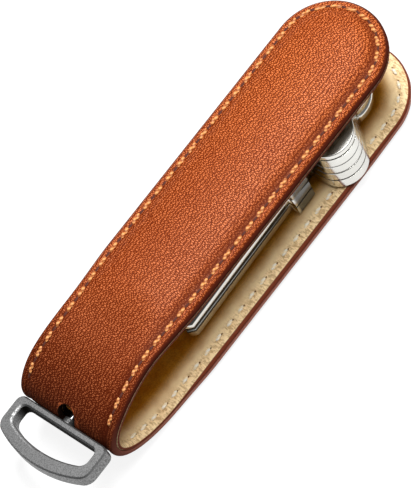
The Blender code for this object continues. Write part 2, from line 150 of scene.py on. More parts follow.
def fold_table():
    """Length along the outer face of the fold for each small turn, from the base up to the flap."""
    table = [(0.0, -pi / 2)]
    length = 0.0
    for step in range(FOLD_STEPS):
        a, b = (-pi / 2 + pi * (step + k) / FOLD_STEPS for k in (0, 1))
        length += hypot(REACH * (cos(b) - cos(a)), HALF_HEIGHT * (sin(b) - sin(a)))
        table.append((length, b))
    return table


FOLD_TABLE = fold_table()
FOLD_LENGTH = FOLD_TABLE[-1][0]
STRAP_END = 2 * FLAT + FOLD_LENGTH
NOSE = FLAT + FOLD_LENGTH / 2


def fold_angle(length):
    low, high = 0, FOLD_STEPS
    while high - low > 1:
        middle = (low + high) // 2
        low, high = (middle, high) if FOLD_TABLE[middle][0] <= length else (low, middle)
    (a, angle_a), (b, angle_b) = FOLD_TABLE[low], FOLD_TABLE[high]
    return angle_a + (angle_b - angle_a) * (length - a) / (b - a)


def fold_length(angle):
    step = (angle + pi / 2) / pi * FOLD_STEPS
    low = min(int(step), FOLD_STEPS - 1)
    return FOLD_TABLE[low][0] + (FOLD_TABLE[low + 1][0] - FOLD_TABLE[low][0]) * (step - low)


CUT_LENGTH = FLAT + fold_length(radians(CUT_DEG))


def smooth(value, low, high):
    share = min(max((value - low) / (high - low), 0.0), 1.0)
    return share * share * (3 - 2 * share)


def lie_aside(s, y):
    """The flap lies a little to one side of the base, and is drawn in a little next to the fold."""
    along = STRAP_END - s
    waist = FLAP_WAIST * smooth(FLAP_WAIST_REACH - abs(along - FLAP_WAIST_AT), 0.0, FLAP_WAIST_REACH)
    aside = FLAP_ASIDE_TIP + (FLAP_ASIDE - FLAP_ASIDE_TIP) * min(max(along / FLAT, 0.0), 1.0)
    share = smooth(s, FLAT + FOLD_LENGTH * ASIDE_FROM_SHARE, FLAT + FOLD_LENGTH * ASIDE_TO_SHARE)
    return y + (aside - waist * y / HALF) * share


def strap_point(s, y, height):
    """A point of the folded strap: s runs from the base's post axis round the fold to the flap's."""
    y = lie_aside(s, y)
    if s <= FLAT:
        return Vector((-s, y, BASE_RIM_Z - height))
    if s >= FLAT + FOLD_LENGTH:
        return Vector((FOLD_X + s - FLAT - FOLD_LENGTH, y, FLAP_RIM_Z + height))
    angle = fold_angle(s - FLAT)
    return Vector((FOLD_X - (REACH + height) * cos(angle), y, MIDDLE_Z + (HALF_HEIGHT + height) * sin(angle)))


def seam_spots(pole, outward, reach):
    """Spots on the seam line of one end: (s, y, way along s, way along y)."""
    radius = HALF - SEAM_INSET
    turns = [-pi / 2 + pi / STITCHES_PER_END * (index + 0.5) for index in range(STITCHES_PER_END)]
    spots = [(pole + outward * radius * cos(a), radius * sin(a), -outward * sin(a), cos(a)) for a in turns]
    for index in range(int(reach / STITCH_PITCH)):
        along = STITCH_PITCH * (index + 0.5)
        spots += [(pole - outward * along, side * radius, outward * -side, 0.0) for side in (-1, 1)]
    return spots


def stations(pole, outward, reach, spacing):
    """Places along the edge, each a spine point and the way from it to the edge."""
    count = round(reach / spacing)
    turns = round(pi * HALF / spacing)
    straight = [pole - outward * reach * step / count for step in range(count, 0, -1)]
    places = [(s, 0.0, -1.0) for s in straight]
    places += [(pole, outward * cos(a), sin(a)) for a in (-pi / 2 + pi * k / turns for k in range(turns + 1))]
    return places + [(s, 0.0, 1.0) for s in reversed(straight)]


def strap_mesh(pole, outward, reach, spacing, profile):
    """A closed layer of the strap. Its section, from the middle round the edge and back, is the profile's."""
    places = stations(pole, outward, reach, spacing)
    columns = len(profile(pole))
    bm = bmesh.new()
    strap = bm.verts.layers.float_vector.new("strap")
    inset = bm.verts.layers.float.new("inset")
    bmesh.ops.create_grid(bm, x_segments=len(places) - 1, y_segments=columns - 1, size=1.0)
    for vert in bm.verts:
        spine, way_s, way_y = places[round((vert.co.x + 1) / 2 * (len(places) - 1))]
        column = round((vert.co.y + 1) / 2 * (columns - 1))
        depth = profile(spine)[column][0]
        s, y = spine + way_s * (HALF - depth), way_y * (HALF - depth)
        height = profile(s)[column][1]
        vert[strap] = (s, y, height)
        vert[inset] = depth
        vert.co = strap_point(s, y, height)
    bmesh.ops.remove_doubles(bm, verts=bm.verts[:], dist=WELD)
    bmesh.ops.dissolve_degenerate(bm, edges=bm.edges[:], dist=WELD)
    rim = [edge for edge in bm.edges if edge.is_boundary]
    bmesh.ops.holes_fill(bm, edges=rim, sides=0)
    bmesh.ops.triangulate(bm, faces=[face for face in bm.faces if len(face.verts) > 4])
    bmesh.ops.recalc_face_normals(bm, faces=bm.faces[:])
    return bm


# The leather's outer face in millimetres, from the middle to the edge: inset, and height over the strap's
# face round the fold, under the base and on the padded flap
SECTION = (
    (11.5, 0.1, 0.80, 2.10), (9.5, 0.1, 0.80, 2.05), (8.0, 0.1, 0.80, 1.96), (6.5, 0.1, 0.79, 1.80),
    (5.5, 0.1, 0.77, 1.65), (4.8, 0.1, 0.72, 1.50), (4.2, 0.09, 0.62, 1.33), (3.7, 0.08, 0.48, 1.12),
    (3.3, 0.07, 0.33, 0.92), (2.95, 0.05, 0.19, 0.72), (2.65, 0.03, 0.08, 0.57), (2.4, 0.0, 0.0, 0.45),
    (2.15, -0.04, -0.10, 0.35), (1.95, -0.08, -0.17, 0.28), (1.8, -0.1, -0.19, 0.26),
    (1.65, -0.08, -0.16, 0.28), (1.5, -0.04, -0.08, 0.33), (1.3, 0.02, 0.0, 0.36), (1.05, 0.06, 0.03, 0.33),
    (0.8, 0.06, 0.02, 0.22), (0.58, 0.03, -0.02, 0.06), (0.38, -0.04, -0.08, -0.13),
    (0.2, -0.15, -0.17, -0.34), (0.07, -0.32, -0.3, -0.55), (0.0, -0.8, -0.5, -0.78), (0.0, -1.0, -0.95, -1.0),
    (0.04, -1.2, -1.2, -1.2))
FOLD_ROW, BASE_ROW, FLAP_ROW = 1, 2, 3
SEAM_CHANNEL = min(SECTION, key=lambda heights: abs(heights[0] * MM - SEAM_INSET))
LEATHER_SPACING = 0.5 * MM

# The last rows of the section belong to the rim. Its foot, at these insets, stands on the lining
RIM_ROWS = 16
RIM_FOOT = (0.3 * MM, 2.2 * MM)

# The lining in millimetres: insets of its flat face and back, and inset and height of its rim
LINING_FACE = (11.5, 9.0, 6.5, 5.0, 4.0, 3.2)
LINING_RIM = ((2.7, 0.0), (2.2, -0.03), (1.95, -0.08), (1.8, -0.1), (1.65, -0.08), (1.4, 0.0), (1.1, 0.03),
              (0.8, 0.02), (0.5, -0.02), (0.24, -0.1), (0.08, -0.22), (0.0, -0.38), (0.0, -0.62))
LINING_BACK = (0.3, 2.0, 4.0, 6.5, 9.0, 11.5)
LINING_GAP = 0.03 * MM
LINING_SPACING = 1.2 * MM


def along_share(s):
    """How far the strap has left the fold behind, from 0 on the fold to 1 where it is padded in full."""
    from_fold = FLAT - s if s < NOSE else s - FLAT - FOLD_LENGTH
    return smooth(from_fold, -0.3 * RUNOUT, RUNOUT)


def spread_inset(depth, s):
    """The lower cover is a little wider than the fold, which only its rim takes up."""
    middle = BASE_SPREAD_TIP + (BASE_SPREAD - BASE_SPREAD_TIP) * smooth(s, BASE_SPREAD_FROM, BASE_SPREAD_TO)
    wider = middle * along_share(s) * (s < NOSE)
    return depth - wider * max(1 - depth / RIM_WIDTH, 0.0)


def leather_profile(row):
    def section(s):
        share = along_share(s)
        face = [(d * MM, (heights[FOLD_ROW - 1] + (heights[row - 1] - heights[FOLD_ROW - 1]) * share) * MM)
                for d, *heights in SECTION]
        inner = [(d, max(height - LEATHER, -JOIN)) for d, height in reversed(face[:len(SECTION) - RIM_ROWS])]
        whole = face + [(d, -JOIN) for d in RIM_FOOT] + inner
        return [(spread_inset(d, s), height) for d, height in whole]
    return section


def lining_profile(s):
    face = [(d * MM, -COVER) for d in LINING_FACE]
    rim = [(d * MM, -COVER - h * MM) for d, h in LINING_RIM]
    back = [(d * MM, -JOIN - LINING_GAP) for d in LINING_BACK]
    return [(spread_inset(d, s), height) for d, height in face + rim + back]


def seam_height(s, row):
    """Height of the leather's face in the seam's channel."""
    fold, flat = SEAM_CHANNEL[FOLD_ROW], SEAM_CHANNEL[row]
    return (fold + (flat - fold) * along_share(s)) * MM


def linked(name, bm):
    """A new object at the origin with the mesh that was built for it."""
    mesh = bpy.data.meshes.new(name)
    bm.to_mesh(mesh)
    bm.free()
    made = bpy.data.objects.new(name, mesh)
    bpy.context.scene.collection.objects.link(made)
    return made


def shade(made, sharp_deg):
    made.data.shade_smooth()
    made.data.set_sharp_from_angle(angle=radians(sharp_deg))


def keep_faces_flat(made):
    weighted = made.modifiers.new("Flat faces", "WEIGHTED_NORMAL")
    weighted.keep_sharp = True


def piece(name, bm, look):
    made = linked(name, bm)
    made.data.materials.append(look)
    shade(made, 50)
    return made


def bead_mesh(spots, height_at, size, turn_deg=0.0, steps=(0.0,)):
    """Rounded beads at each spot, each turned across the seam; two in a row look like a twisted stitch."""
    bm = bmesh.new()
    for s, y, way_s, way_y in spots:
        for step in steps:
            at_s, at_y = s + way_s * step, y + way_y * step
            height = height_at(at_s)
            place = strap_point(at_s, at_y, height)
            forward = (strap_point(at_s + way_s * MM, at_y + way_y * MM, height) - place).normalized()
            up = (strap_point(at_s, at_y, height + MM) - place).normalized()
            side = up.cross(forward)
            along_seam = Matrix(((forward.x, side.x, up.x, 0), (forward.y, side.y, up.y, 0),
                                 (forward.z, side.z, up.z, 0), (0, 0, 0, 1)))
            turned = Matrix.Rotation(radians(turn_deg), 4, up) @ along_seam
            matrix = Matrix.Translation(place) @ turned @ Matrix.Diagonal((*size, 1.0))
            bmesh.ops.create_uvsphere(bm, u_segments=8, v_segments=4, radius=0.5, matrix=matrix)
    return bm


def cut_out(target, bm):
    """Takes the built shape out of the target and keeps the result in its mesh."""
    tool = linked("cutter", bm)
    modifier = target.modifiers.new("Cut", "BOOLEAN")
    modifier.operation = "DIFFERENCE"
    modifier.solver = "EXACT"
    modifier.object = tool
    bpy.context.view_layer.update()
    cut = bpy.data.meshes.new_from_object(target.evaluated_get(bpy.context.evaluated_depsgraph_get()))
    target.modifiers.clear()
    old = target.data
    target.data = cut
    bpy.data.meshes.remove(old)
    bpy.data.objects.remove(tool, do_unlink=True)


def round_edges(bm, edges, offset, segments, clamp):
    bmesh.ops.bevel(bm, geom=[edge for edge in edges if edge.is_valid], offset=offset, offset_type="OFFSET",
                    segments=segments, profile=0.5, affect="EDGES", clamp_overlap=clamp, material=-1)


# Materials: the sizes of their patterns. The real milled grain and the real pits of blasted zinc are finer than
# they are here: both are drawn as coarse as they need to be to show
PEBBLE_ALONG, PEBBLE_ACROSS = 0.3 * MM, 0.68 * MM
PEBBLE_BEND, PEBBLE_BEND_SHARE = 0.7 * MM, 0.0004
DYE_CLOUD = 9 * MM
PEBBLE_DEPTH = 0.016 * MM
TAN_CLOUD = 5 * MM
FIBRE = 0.3 * MM
CREASE_ALONG, CREASE_ACROSS = 0.45 * MM, 1.1 * MM
CREASE_DEPTH = 0.3 * MM
PLY_PITCH = 1.2083 * MM
PLY_DEPTH = 0.08 * MM
PUNCH_FLECK = MM / 3
PLATING_CLOUD = 6.25 * MM

# Heights in millimetres at which the stacked blades are painted dark, as painted shade and dark reflection, and
# how dark, from the lowest key up
KEY_SHADE_STEPS = ((5.5, 0.0), (5.75, 0.92), (6.2, 0.92), (6.32, 0.4), (6.48, 0.4), (6.62, 0.95), (7.45, 0.95),
           (7.65, 0.0), (8.2, 0.0), (8.4, 0.95), (10.6, 0.95), (10.75, 0.2), (11.0, 0.2), (11.15, 0.95),
           (14.5, 0.95), (15.0, 0.3))
# Places in millimetres along the keys' necks, and heights by the top key's face, between which they are painted
# dark as shade
NECK_X = (-16.9, -17.6, -23.8, -24.6)
TOP_FACE_Z = (16.3, 16.42)


def colour(code):
    """Linear colour of an sRGB hex value."""
    channels = (int(code[k:k + 2], 16) / 255 for k in (1, 3, 5))
    return tuple(c / 12.92 if c <= 0.04045 else ((c + 0.055) / 1.055) ** 2.4 for c in channels) + (1.0,)


def fill(made, inputs):
    """Gives a node its inputs, by number or by name, each a plain value or another node's output."""
    for key, value in inputs.items() if isinstance(inputs, dict) else enumerate(inputs):
        if isinstance(value, bpy.types.NodeSocket):
            made.id_data.links.new(value, made.inputs[key])
        else:
            made.inputs[key].default_value = value


def node(tree, kind, inputs=(), out=0, **settings):
    """Adds one node with its settings, its plain values and its links, and gives the output asked for."""
    made = tree.nodes.new("ShaderNode" + kind)
    for name, value in settings.items():
        setattr(made, name, value)
    fill(made, inputs)
    return made.outputs[out]


def new_material(name):
    made = bpy.data.materials.new(name)
    made.use_nodes = True
    return made, made.node_tree, made.node_tree.nodes["Principled BSDF"]


def mask(tree, *steps):
    """A share, the product of smooth steps: each a value, its range, and the shares there if not 0 and 1."""
    share = None
    for value, *limits in steps:
        step = node(tree, "MapRange", [value, *limits], interpolation_type="SMOOTHSTEP")
        share = step if share is None else node(tree, "Math", [share, step], operation="MULTIPLY")
    return share


def coats(tree, base, *layers):
    """A colour with others laid over it in turn, each by its own share or by the smooth steps of its mask."""
    for over, *steps in layers:
        share = steps[0] if isinstance(steps[0], bpy.types.NodeSocket) else mask(tree, *steps)
        over = colour(over) if isinstance(over, str) else over
        base = node(tree, "Mix", {0: share, 6: base, 7: over}, out=2, data_type="RGBA")
    return base


def strap_place(tree):
    """The strap's flat directions as a vector, the inset from its edge, and length, width and height."""
    strap = node(tree, "Attribute", out="Vector", attribute_name="strap")
    inset = node(tree, "Attribute", out="Fac", attribute_name="inset")
    return strap, inset, *node(tree, "SeparateXYZ", [strap]).node.outputs


def stem_hole(tree):
    """How near a place is to the wall of the slot that the ring's stem goes through."""
    x, y, z = node(tree, "SeparateXYZ", [node(tree, "TexCoord", out="Object")]).node.outputs
    for operation, amount in (("SUBTRACT", MIDDLE_Z + STEM_HOLE_RISE / 2), ("ABSOLUTE", 0.0),
                              ("SUBTRACT", STEM_HOLE_RISE / 2), ("MAXIMUM", 0.0)):
        z = node(tree, "Math", [z, amount], operation=operation)
    off = node(tree, "VectorMath", {0: node(tree, "CombineXYZ", [0.0, y, z]), 3: 2 / STEM_HOLE_WIDTH},
               operation="SCALE")
    square = node(tree, "VectorMath", [off, off], out="Value", operation="DOT_PRODUCT")
    return mask(tree, (square, 1.22, 1.04), (x, FOLD_X - REACH * 0.6, FOLD_X - REACH * 0.8))


def leather_material():
    """Aniline-dyed cowhide, milled: small wavy pebbles with soft gloss and dark creases, with painted light and
    shade on the pebble tops, the seam's shoulders, round the fold and on the flap's cut edge.
    """
    made, tree, shader = new_material("milled_aniline_leather")
    strap, inset, s, y, height = strap_place(tree)
    bend = node(tree, "TexNoise", {"Vector": strap, "Scale": 1 / PEBBLE_BEND, "Detail": 1.0}, out="Color")
    bent = node(tree, "Mix", {0: PEBBLE_BEND_SHARE, 4: strap, 5: bend}, out=1, data_type="VECTOR")
    cells = node(tree, "Mapping", {"Vector": bent,
                                   "Scale": (1 / PEBBLE_ALONG, 1 / PEBBLE_ACROSS, 1 / PEBBLE_ACROSS)})
    pebble = node(tree, "TexVoronoi", {"Vector": cells, "Scale": 1.0, "Randomness": 0.85}, out="Distance",
                  feature="DISTANCE_TO_EDGE", voronoi_dimensions="2D")
    grain = mask(tree, (pebble, 0.0, 0.4))
    tops = mask(tree, (grain, 0.55, 1.0))
    cloud = node(tree, "TexNoise", {"Vector": strap, "Scale": 1 / DYE_CLOUD, "Detail": 4.0,
                                    "Roughness": 0.55}, out="Fac")
    past_nose = node(tree, "Math", [s, NOSE], operation="SUBTRACT")
    from_nose = node(tree, "Math", [past_nose], operation="ABSOLUTE")
    edge = ((height, 0.1 * MM, -0.25 * MM), (inset, 0.9 * MM, 0.5 * MM))
    on_flap = (s, NOSE - 20 * MM, NOSE + 10 * MM)
    # The cut edge's paint comes in two copies: a lighter, lit one on the lower cover and a darker one on the
    # flap, painted shade
    edge_paint_lit_and_shaded = coats(tree, colour("#cd8370"), ("#4c190c", on_flap))
    hole = stem_hole(tree)
    base = coats(
        tree, colour("#c95e1d"),
        ("#d46824", (cloud, 0.3, 0.7)),
        # Painted light and shade: lightest at the flap's free end, darker over its first 55 mm, and as dark over
        # the fold and the lower cover
        ("#8a3006", (s, STRAP_END + 4 * MM, STRAP_END - 55 * MM, 0.0, 0.46)),
        ("#5e1b00", (grain, 0.85, 0.1)),
        # Pebble tops lighter and pinker: partly the dye's lighter tone there, partly painted glints
        ("#e79a70", (grain, 0.55, 1.0, 0.0, 0.3)),
        # Painted shade on the shoulders inside the seam, strongest on the -y side
        ("#571802", (inset, 1.2 * MM, 1.6 * MM), (inset, 3.8 * MM, 2.2 * MM), (y, 4 * MM, -8 * MM, 0.2, 0.8)),
        # Painted shade round the fold, less on the pebble tops
        ("#420f00", (from_nose, 32 * MM, 3 * MM, 0.0, 0.82), (tops, 0.0, 1.0, 1.12, 0.66)),
        (edge_paint_lit_and_shaded, *edge),
        # The stem's slot painted near-black, as the shade in it
        ("#160602", hole))
    dull = mask(tree, *edge, on_flap)
    for share in (mask(tree, (from_nose, 32 * MM, 3 * MM, 0.0, 1.23)), hole):
        dull = node(tree, "Math", [dull, share], operation="MAXIMUM")
    gloss = mask(tree, (grain, 0.1, 0.8, 0.55, 0.33))
    rough = node(tree, "Mix", {0: dull, 2: gloss, 3: 0.95})
    bump = node(tree, "Bump", {"Height": grain, "Strength": 1.0, "Distance": PEBBLE_DEPTH}, out="Normal")
    fill(shader, {"Base Color": base, "Roughness": rough, "Normal": bump, "Specular IOR Level": 0.24,
                  "Specular Tint": colour("#ffc4a6")})
    return made


def lining_material():
    """Vegetable-tanned calf, undyed and glazed: smooth tan, finely creased and pale along the sewn edge, partly
    by painted light there, and painted darker in the middle of the flap's lining as shade.
    """
    made, tree, shader = new_material("vegetable_tanned_calf")
    strap, inset, s, *_ = strap_place(tree)
    cloud = node(tree, "TexNoise", {"Vector": strap, "Scale": 1 / TAN_CLOUD, "Detail": 6.0,
                                    "Roughness": 0.62}, out="Fac")
    fibre = node(tree, "TexNoise", {"Vector": strap, "Scale": 1 / FIBRE, "Detail": 3.0, "Roughness": 0.6},
                 out="Fac")
    along = node(tree, "Mapping", {"Vector": strap, "Scale": (1 / CREASE_ALONG, 1 / CREASE_ACROSS, 1 / MM)})
    crease = node(tree, "TexNoise", {"Vector": along, "Scale": 1.0, "Detail": 4.0, "Roughness": 0.6,
                                     "Distortion": 0.6}, out="Fac")
    base = coats(
        tree, colour("#c27912"),
        ("#d4932c", (cloud, 0.36, 0.62)),
        ("#955810", (fibre, 0.4, 0.65, 0.0, 0.4)),
        # Paler band along the sewn edge: partly the calf's own paler, crinkled edge, partly painted light and
        # glints on the crinkles
        ("#ffe3b2", (inset, 5.8 * MM, 2.2 * MM), (cloud, 0.36, 0.6, 0.86, 1.16)),
        ("#9c6c34", (inset, 3.0 * MM, 1.6 * MM), (crease, 0.56, 0.40, 0.0, 0.55)),
        # Painted shade: the flap's lining darker towards its middle, as the shade under the flap
        ("#5b3310", (inset, 3 * MM, 7 * MM, 0.0, 0.8), (s, STRAP_END - FLAT, STRAP_END - FLAT + 20 * MM)),
        ("#7a3a26", (inset, 0.16 * MM, 0.06 * MM)),
        # The stem's slot painted near-black, as the shade in it
        ("#160602", stem_hole(tree)))
    by_edge = mask(tree, (inset, 3.6 * MM, 2.0 * MM, 0.1, 1.0))
    folds = node(tree, "Math", [crease, by_edge], operation="MULTIPLY")
    relief = node(tree, "Math", [fibre, 0.18, folds], operation="MULTIPLY_ADD")
    bump = node(tree, "Bump", {"Height": relief, "Strength": 0.9, "Distance": CREASE_DEPTH}, out="Normal")
    fill(shader, {"Base Color": base, "Normal": bump, "Roughness": 0.5, "Specular IOR Level": 0.04})
    return made


def thread_material(name, light, dark):
    """Waxed bonded polyester thread: two twisted plies, drawn as slanting lighter and darker bands that are
    painted light and shade of the twist.
    """
    made, tree, shader = new_material(name)
    place = node(tree, "TexCoord", out="Object")
    ply = node(tree, "TexWave", {"Vector": place, "Scale": 2 * pi / (10 * PLY_PITCH), "Distortion": 1.5},
               out="Fac", bands_direction="DIAGONAL")
    bump = node(tree, "Bump", {"Height": ply, "Strength": 0.5, "Distance": PLY_DEPTH}, out="Normal")
    fill(shader, {"Base Color": coats(tree, colour(dark), (light, ply)), "Normal": bump, "Roughness": 0.5})
    return made


def hole_material(name, dark, light):
    """Punched needle hole: a dark patch of the leather's hue, painted shade standing in for the hole's depth."""
    made, tree, shader = new_material(name)
    fleck = node(tree, "TexNoise", {"Vector": node(tree, "TexCoord", out="Object"), "Scale": 1 / PUNCH_FLECK},
                 out="Fac")
    fill(shader, {"Base Color": coats(tree, colour(dark), (light, fleck)), "Roughness": 0.8})
    return made


def painted_key_shade(tree):
    """How much of the plating is painted black: painted shade and dark reflection on the blades, the necks and
    the top key's face.
    """
    x, y, z = node(tree, "SeparateXYZ", [node(tree, "TexCoord", out="Object")]).node.outputs
    dark = 0.0
    for (z_from, share_from), (z_to, share_to) in zip(KEY_SHADE_STEPS, KEY_SHADE_STEPS[1:]):
        if share_from != share_to:
            step = mask(tree, (z, z_from * MM, z_to * MM, 0.0, share_to - share_from))
            dark = node(tree, "Math", [step, dark], operation="ADD")
    on_blade = mask(tree, (x, BLADE_FROM_X + 1.6 * MM, BLADE_FROM_X))
    blade = node(tree, "Math", [on_blade, dark], operation="MULTIPLY")
    bow_end, neck_from, neck_to, shoulder = (place * MM for place in NECK_X)
    neck = mask(tree, (x, bow_end, neck_from, 0.0, 0.8), (x, shoulder, neck_to))
    top = mask(tree, (z, TOP_FACE_Z[0] * MM, TOP_FACE_Z[1] * MM, 0.0, 0.68))
    sides = node(tree, "Math", [blade, neck], operation="MAXIMUM")
    return node(tree, "Math", [sides, top], operation="MAXIMUM")


def painted_ring_shade(tree):
    """How much of the ring is painted dark as shade: the inner wall next to its bar, and the stem behind the bar.
    """
    own = node(tree, "Attribute", out="Vector", attribute_name="ring")
    x, y, z = node(tree, "SeparateXYZ", [own]).node.outputs
    aside = node(tree, "Math", [y], operation="ABSOLUTE")
    recess = mask(tree, (z, RING_THICKNESS / 2 - 0.25 * MM, RING_THICKNESS / 2 - 0.45 * MM),
                  (z, -RING_THICKNESS / 2 + 0.1 * MM, -RING_THICKNESS / 2 + 0.3 * MM),
                  (aside, RING_INNER_HALF + 0.2 * MM, RING_INNER_HALF),
                  (x, -RING_BAR + 0.15 * MM, -RING_BAR),
                  (x, -RING_BAR - 3.5 * MM, -RING_BAR - 0.5 * MM))
    behind_bar = mask(tree, (x, 0.02 * MM, 0.12 * MM, 0.0, 0.35))
    return node(tree, "Math", [recess, behind_bar], operation="MAXIMUM")


def metal_material(name, tint, shade_code, roughness, grit_mm, depth_mm, flecked=False, painted_shade=None,
                   shade_roughness=0.3):
    """A bare or plated metal. Its finish is a fine pattern of the given grit, seen as flecks where blasted. A
    painted-shade mask, if given, lays near-black shade over it with its own roughness.
    """
    made, tree, shader = new_material(name)
    place = node(tree, "TexCoord", out="Object")
    fine = node(tree, "TexNoise", {"Vector": place, "Scale": 1 / (grit_mm * MM), "Detail": 3.0,
                                   "Roughness": 0.6}, out="Fac")
    wide = node(tree, "TexNoise", {"Vector": place, "Scale": 1 / PLATING_CLOUD, "Detail": 3.0}, out="Fac")
    base = coats(tree, colour(tint), (shade_code, (fine, 0.38, 0.62) if flecked else wide))
    rough = mask(tree, (fine, 0.25, 0.75, roughness * 0.75, roughness * 1.25))
    if painted_shade:
        shade_share = painted_shade(tree)
        # Painted shade: near-black laid over the metal by the mask, with the mask's roughness
        base = coats(tree, base, ("#100b07", shade_share))
        rough = node(tree, "Mix", {0: shade_share, 2: rough, 3: shade_roughness})
    bump = node(tree, "Bump", {"Height": fine, "Strength": 0.5, "Distance": depth_mm * MM}, out="Normal")
    fill(shader, {"Base Color": base, "Roughness": rough, "Normal": bump, "Metallic": 1.0})
    return made


def plain_material(name, tint, shade_code, roughness, grain_mm, depth_mm):
    """A matte inner material, such as fibre board, foam or nylon, with its own fine grain."""
    made, tree, shader = new_material(name)
    place = node(tree, "TexCoord", out="Object")
    fine = node(tree, "TexNoise", {"Vector": place, "Scale": 1 / (grain_mm * MM), "Detail": 4.0}, out="Fac")
    bump = node(tree, "Bump", {"Height": fine, "Strength": 0.5, "Distance": depth_mm * MM}, out="Normal")
    fill(shader, {"Base Color": coats(tree, colour(tint), (shade_code, fine)), "Normal": bump,
                  "Roughness": roughness})
    return made


def backdrop_material(name, code):
    """Pale paper that glows a little where it is seen, so that it stays white round the object."""
    made, tree, shader = new_material(name)
    rays = node(tree, "LightPath").node.outputs
    seen = node(tree, "Math", [rays["Is Camera Ray"], rays["Is Glossy Ray"]], operation="MAXIMUM")
    glow = node(tree, "Math", [seen, FLOOR_GLOW], operation="MULTIPLY")
    fill(shader, {"Base Color": colour(code), "Roughness": 0.9, "Emission Color": colour("#ffffff"),
                  "Emission Strength": glow})
    return made


LEATHER_LOOK = leather_material()
LINING_LOOK = lining_material()
OUTER_THREAD = thread_material("waxed_thread_amber", "#eaa35f", "#9f531f")
INNER_THREAD = thread_material("waxed_thread_natural", "#fff8e8", "#ffecc8")
HOLE_LOOK = hole_material("needle_hole_shade_cowhide", "#3a1206", "#5a2410")
LINING_HOLE_LOOK = hole_material("needle_hole_shade_calf", "#5e3d17", "#7d5524")
# Nickel plate, polished: bright and sharp in its reflections, and painted black, as shade and dark reflection, on
# the stacked keys' blades, necks and top face
NICKEL = metal_material("polished_nickel_plate", "#e9e8e3", "#d2d0c9", 0.2, 0.12, 0.004, painted_shade=painted_key_shade)
# Cast zinc, bead-blasted: mid grey with light and dark flecks, and no clear reflection; painted dark as shade on
# the inner wall by its bar and on its stem
ZINC = metal_material("bead_blasted_zinc", "#929292", "#6c6c6c", 0.5, 0.24, 0.03, flecked=True,
                      painted_shade=painted_ring_shade, shade_roughness=0.95)
# Steel, turned: grey, with blurred reflections
STEEL = metal_material("turned_steel", "#b3b3b5", "#9c9c9f", 0.3, 0.1, 0.006)
# Magnet, nickel-plated and tumbled: pale grey, with soft reflections
MAGNET_PLATE = metal_material("nickel_plated_magnet", "#c9c9cb", "#b5b5b8", 0.25, 0.2, 0.004)
# Nylon, moulded: black with a faint sheen
NYLON = plain_material("moulded_black_nylon", "#1c1c1d", "#262627", 0.5, 0.15, 0.01)
# Foam, closed-cell: dull dark grey with small pores
FOAM = plain_material("closed_cell_foam", "#2a2a2b", "#3a3a3b", 0.9, 0.25, 0.06)
# Fibre board, pressed: dull brown with short fibres
BOARD = plain_material("pressed_fibre_board", "#6b573c", "#7f6a4b", 0.85, 0.3, 0.02)


def cover_pieces():
    """The strap in two lengths that meet under the fold: the lower one rides on the case, the upper one is left
    unattached.
    """
    covers = (("lower", 0.0, -1, CUT_LENGTH, BASE_ROW),
              ("upper", STRAP_END, 1, STRAP_END - CUT_LENGTH, FLAP_ROW))
    for name, pole, outward, reach, row in covers:
        skin_mesh = strap_mesh(pole, outward, reach, LEATHER_SPACING, leather_profile(row))
        inside_mesh = strap_mesh(pole, outward, reach, LINING_SPACING, lining_profile)
        spots = seam_spots(pole, outward, FLAT + SEAM_STOP)
        gaps = [(s + way_s * STITCH_PITCH / 2, y + way_y * STITCH_PITCH / 2, way_s, way_y)
                for s, y, way_s, way_y in spots]
        outer = bead_mesh(spots, lambda s: seam_height(s, row) + BEAD_LIFT, BEAD_SIZE, BEAD_TURN_DEG,
                          (-BEAD_STEP / 2, BEAD_STEP / 2))
        inner = bead_mesh(spots, lambda s: -COVER - INNER_LIFT, INNER_SIZE, INNER_TURN_DEG)
        # Needle holes, outside and in: dark flat beads on the surface, painted shade standing in for the holes'
        # depth
        holes = bead_mesh(gaps, lambda s: seam_height(s, row) + HOLE_LIFT, HOLE_SIZE)
        inner_holes = bead_mesh(spots, lambda s: -COVER - INNER_HOLE_LIFT, INNER_HOLE_SIZE,
                                steps=(INNER_HOLE_STEP,))
        finish_cover(name, [piece("leather_" + name, skin_mesh, LEATHER_LOOK),
                            piece("lining_leather_" + name, inside_mesh, LINING_LOOK),
                            piece("stitches_" + name, outer, OUTER_THREAD),
                            piece("lining_stitches_" + name, inner, INNER_THREAD),
                            piece("needle_holes_" + name, holes, HOLE_LOOK),
                            piece("lining_needle_holes_" + name, inner_holes, LINING_HOLE_LOOK)])


def finish_cover(name, made):
    """Hides the CAD layers that a cover's pieces replace, sets the lower cover's pieces on the case, and cuts the
    stem's slot through the upper one.
    """
    skin, inside = made[:2]
    if name == "upper":
        for leaf in (skin, inside):
            bm = bmesh.new()
            bmesh.ops.create_cone(bm, cap_ends=True, segments=40, radius1=STEM_HOLE_WIDTH / 2,
                                  radius2=STEM_HOLE_WIDTH / 2, depth=8 * MM,
                                  matrix=Matrix.Translation((FOLD_X - REACH, 0, MIDDLE_Z))
                                  @ Matrix.Rotation(pi / 2, 4, "Y"))
            raised = [vert for vert in bm.verts if vert.co.z > MIDDLE_Z + WELD]
            bmesh.ops.translate(bm, verts=raised, vec=(0, 0, STEM_HOLE_RISE))
            cut_out(leaf, bm)
        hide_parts("outer_leather_flap")
        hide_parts("lining_flap")
        for thing in made:
            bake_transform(thing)
    else:
        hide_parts("outer_leather_base")
        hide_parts("lining_base")
        for thing in made:
            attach(thing, "case")


def merged_copy(name):
    """A CAD node's mesh with its loose triangles joined again."""
    bm = bmesh.new()
    bm.from_mesh(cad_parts[name].data)
    bmesh.ops.transform(bm, matrix=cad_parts[name].matrix_world, verts=bm.verts[:])
    bmesh.ops.remove_doubles(bm, verts=bm.verts[:], dist=2 * WELD)
    bmesh.ops.dissolve_limit(bm, angle_limit=radians(1.0), verts=bm.verts[:], edges=bm.edges[:])
    return bm


